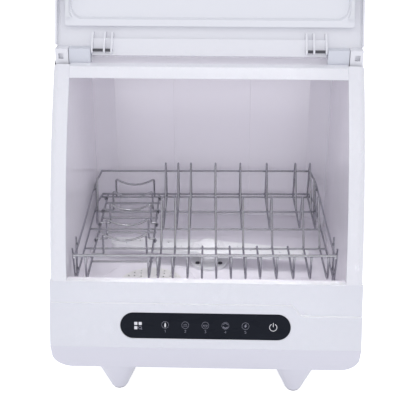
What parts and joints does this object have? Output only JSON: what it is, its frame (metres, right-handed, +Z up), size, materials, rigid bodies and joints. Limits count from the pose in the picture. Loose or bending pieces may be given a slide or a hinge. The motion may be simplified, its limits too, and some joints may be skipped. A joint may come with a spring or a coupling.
{
  "type": "countertop dishwasher",
  "caption": "Countertop dishwasher with a flip-up curved front lid, wire dish rack, spray arm, touch panel and tapered feet.",
  "frame": {"origin": "middle of the footprint on the worktop, at the bottom centre of the bounding box", "axes": "+X to the right seen from the front, -Y out of the front, +Z up; the lid is stored open"},
  "size_m": [0.42, 0.408, 0.8104],
  "materials": {
    "shell_white": "glossy moulded ABS",
    "chin_white": "glossy moulded ABS",
    "base_white": "glossy moulded ABS",
    "tub_white": "glossy moulded polypropylene",
    "liner_white": "glossy moulded polypropylene",
    "hinge_grey": "moulded",
    "seal_silicone": "soft silicone",
    "foot_rubber": "soft rubber",
    "panel_glass": "black glazed panel",
    "circuit_board": "green laminate",
    "copper_spring": "sprung bronze",
    "spray_white": "moulded",
    "filter_plastic": "moulded",
    "steel_mesh": "perforated",
    "pin_steel": "drawn",
    "rack_wire": "electropolished wire",
    "pump_plastic": "moulded",
    "motor_steel": "pressed",
    "hose_rubber": "extruded",
    "dark_plastic": "moulded"
  },
  "bodies": {
    "cabinet": {"base_tray": "base_white", "front_chin": "chin_white", "side_cheek_left": "shell_white", "side_cheek_right": "shell_white", "rear_panel": "shell_white", "top_cover": "shell_white", "top_bar": "shell_white", "tub_surround": "tub_white", "tub_floor": "tub_white", "hinge_block_left": "hinge_grey", "hinge_block_right": "hinge_grey", "hinge_pins": "pin_steel", "lid_switch": "dark_plastic", "control_glass": "panel_glass", "control_board": "circuit_board", "touch_springs": "copper_spring", "power_board": "circuit_board", "sump": "pump_plastic", "hub_base": "spray_white", "hub_screws": "pin_steel", "spray_post": "spray_white", "wash_pump_volute": "pump_plastic", "wash_pump_motor": "motor_steel", "drain_pump_volute": "pump_plastic", "drain_pump_motor": "motor_steel", "heater": "motor_steel", "hoses": "hose_rubber", "fan_duct": "pump_plastic", "cable_gland": "dark_plastic", "inlet_port": "pump_plastic", "drain_port": "pump_plastic", "foot_front_left": "base_white", "foot_front_right": "base_white", "foot_rear_left": "base_white", "foot_rear_right": "base_white", "foot_pads": "foot_rubber", "rear_screws": "pin_steel"},
    "lid": {"lid_shell": "shell_white", "lid_liner": "liner_white", "lid_gasket": "seal_silicone", "lid_hinge_ribs": "shell_white", "lid_magnet": "dark_plastic"},
    "spray_arm_body": {"spray_arm": "spray_white", "spray_cap": "spray_white"},
    "filter": {"filter_cover": "filter_plastic", "filter_basket": "steel_mesh"},
    "rack": {"rack_frame": "rack_wire", "rack_floor_wires": "rack_wire", "rack_front_grid": "rack_wire", "rack_legs": "rack_wire", "rack_tines_front": "rack_wire", "rack_tines_rear": "rack_wire", "cup_arcs": "rack_wire"},
    "wash_impeller": {"wash_pump_impeller": "pump_plastic"},
    "drain_impeller": {"drain_pump_impeller": "pump_plastic"},
    "fan": {"fan_impeller": "dark_plastic"}
  },
  "joints": [
    {"name": "lid_hinge", "type": "hinge", "parent": "cabinet", "child": "lid", "pos_m": [0, -0.03076, 0.4615], "axis": [1, 0, 0], "range_deg": [0, 165]},
    {"name": "spray_arm_spin", "type": "hinge", "parent": "cabinet", "child": "spray_arm_body", "pos_m": [0, 0.002, 0.145], "axis": [0, 0, 1], "continuous": true},
    {"name": "filter_turn", "type": "hinge", "parent": "cabinet", "child": "filter", "pos_m": [-0.084, -0.068, 0.119], "axis": [0, 0, 1], "range_deg": [0, 60]},
    {"name": "rack_lift", "type": "slide", "parent": "cabinet", "child": "rack", "axis": [0, 0, 1], "range_m": [0, 0.07]},
    {"name": "wash_pump_spin", "type": "hinge", "parent": "cabinet", "child": "wash_impeller", "pos_m": [0.02, -0.068, 0.084], "axis": [1, 0, 0], "continuous": true},
    {"name": "drain_pump_spin", "type": "hinge", "parent": "cabinet", "child": "drain_impeller", "pos_m": [-0.07, 0.032, 0.084], "axis": [1, 0, 0], "continuous": true},
    {"name": "fan_spin", "type": "hinge", "parent": "cabinet", "child": "fan", "pos_m": [0.12, 0.19, 0.33], "axis": [0, 1, 0], "continuous": true}
  ]
}
